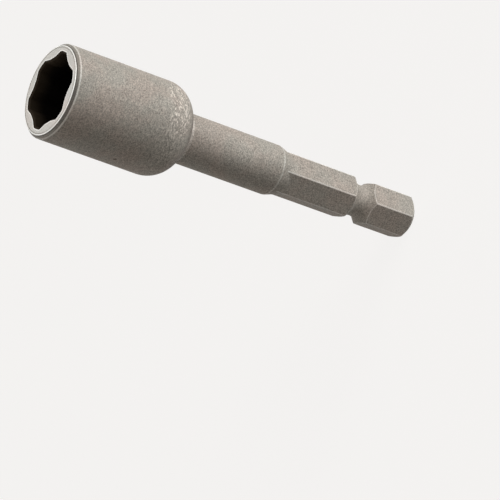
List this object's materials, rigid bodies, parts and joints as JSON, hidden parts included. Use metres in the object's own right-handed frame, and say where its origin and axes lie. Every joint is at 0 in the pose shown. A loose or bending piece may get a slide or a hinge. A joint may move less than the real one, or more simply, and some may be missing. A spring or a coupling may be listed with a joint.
{
  "type": "nut setter",
  "caption": "Magnetic nut setter: a hex socket with relieved corners and a round shoulder, pressed on a round neck with a hex power shank and detent groove.",
  "frame": {"origin": "centre of the shank's flat tail face, the end that goes into the chuck", "axes": "+Z along the turning axis from the tail to the socket's mouth; a flat of the hex shank faces +X and another -X"},
  "size_m": [0.0148, 0.0148, 0.065],
  "materials": {
    "blasted_steel": "sand-blasted, matte, with fine light and dark speckle and a slightly warm grey",
    "nickel_plate": "satin nickel plating",
    "zinc_plate": "drawn sheet steel with a thin zinc plating",
    "spring_steel": "oiled dark spring steel",
    "fibre": "pressed red-brown fibre sheet"
  },
  "bodies": {
    "root": {"socket": "blasted_steel", "drive_shank": "blasted_steel", "magnet_cup": "zinc_plate", "magnet": "nickel_plate", "cushion_pad": "fibre", "retaining_ring": "spring_steel"}
  },
  "joints": []
}
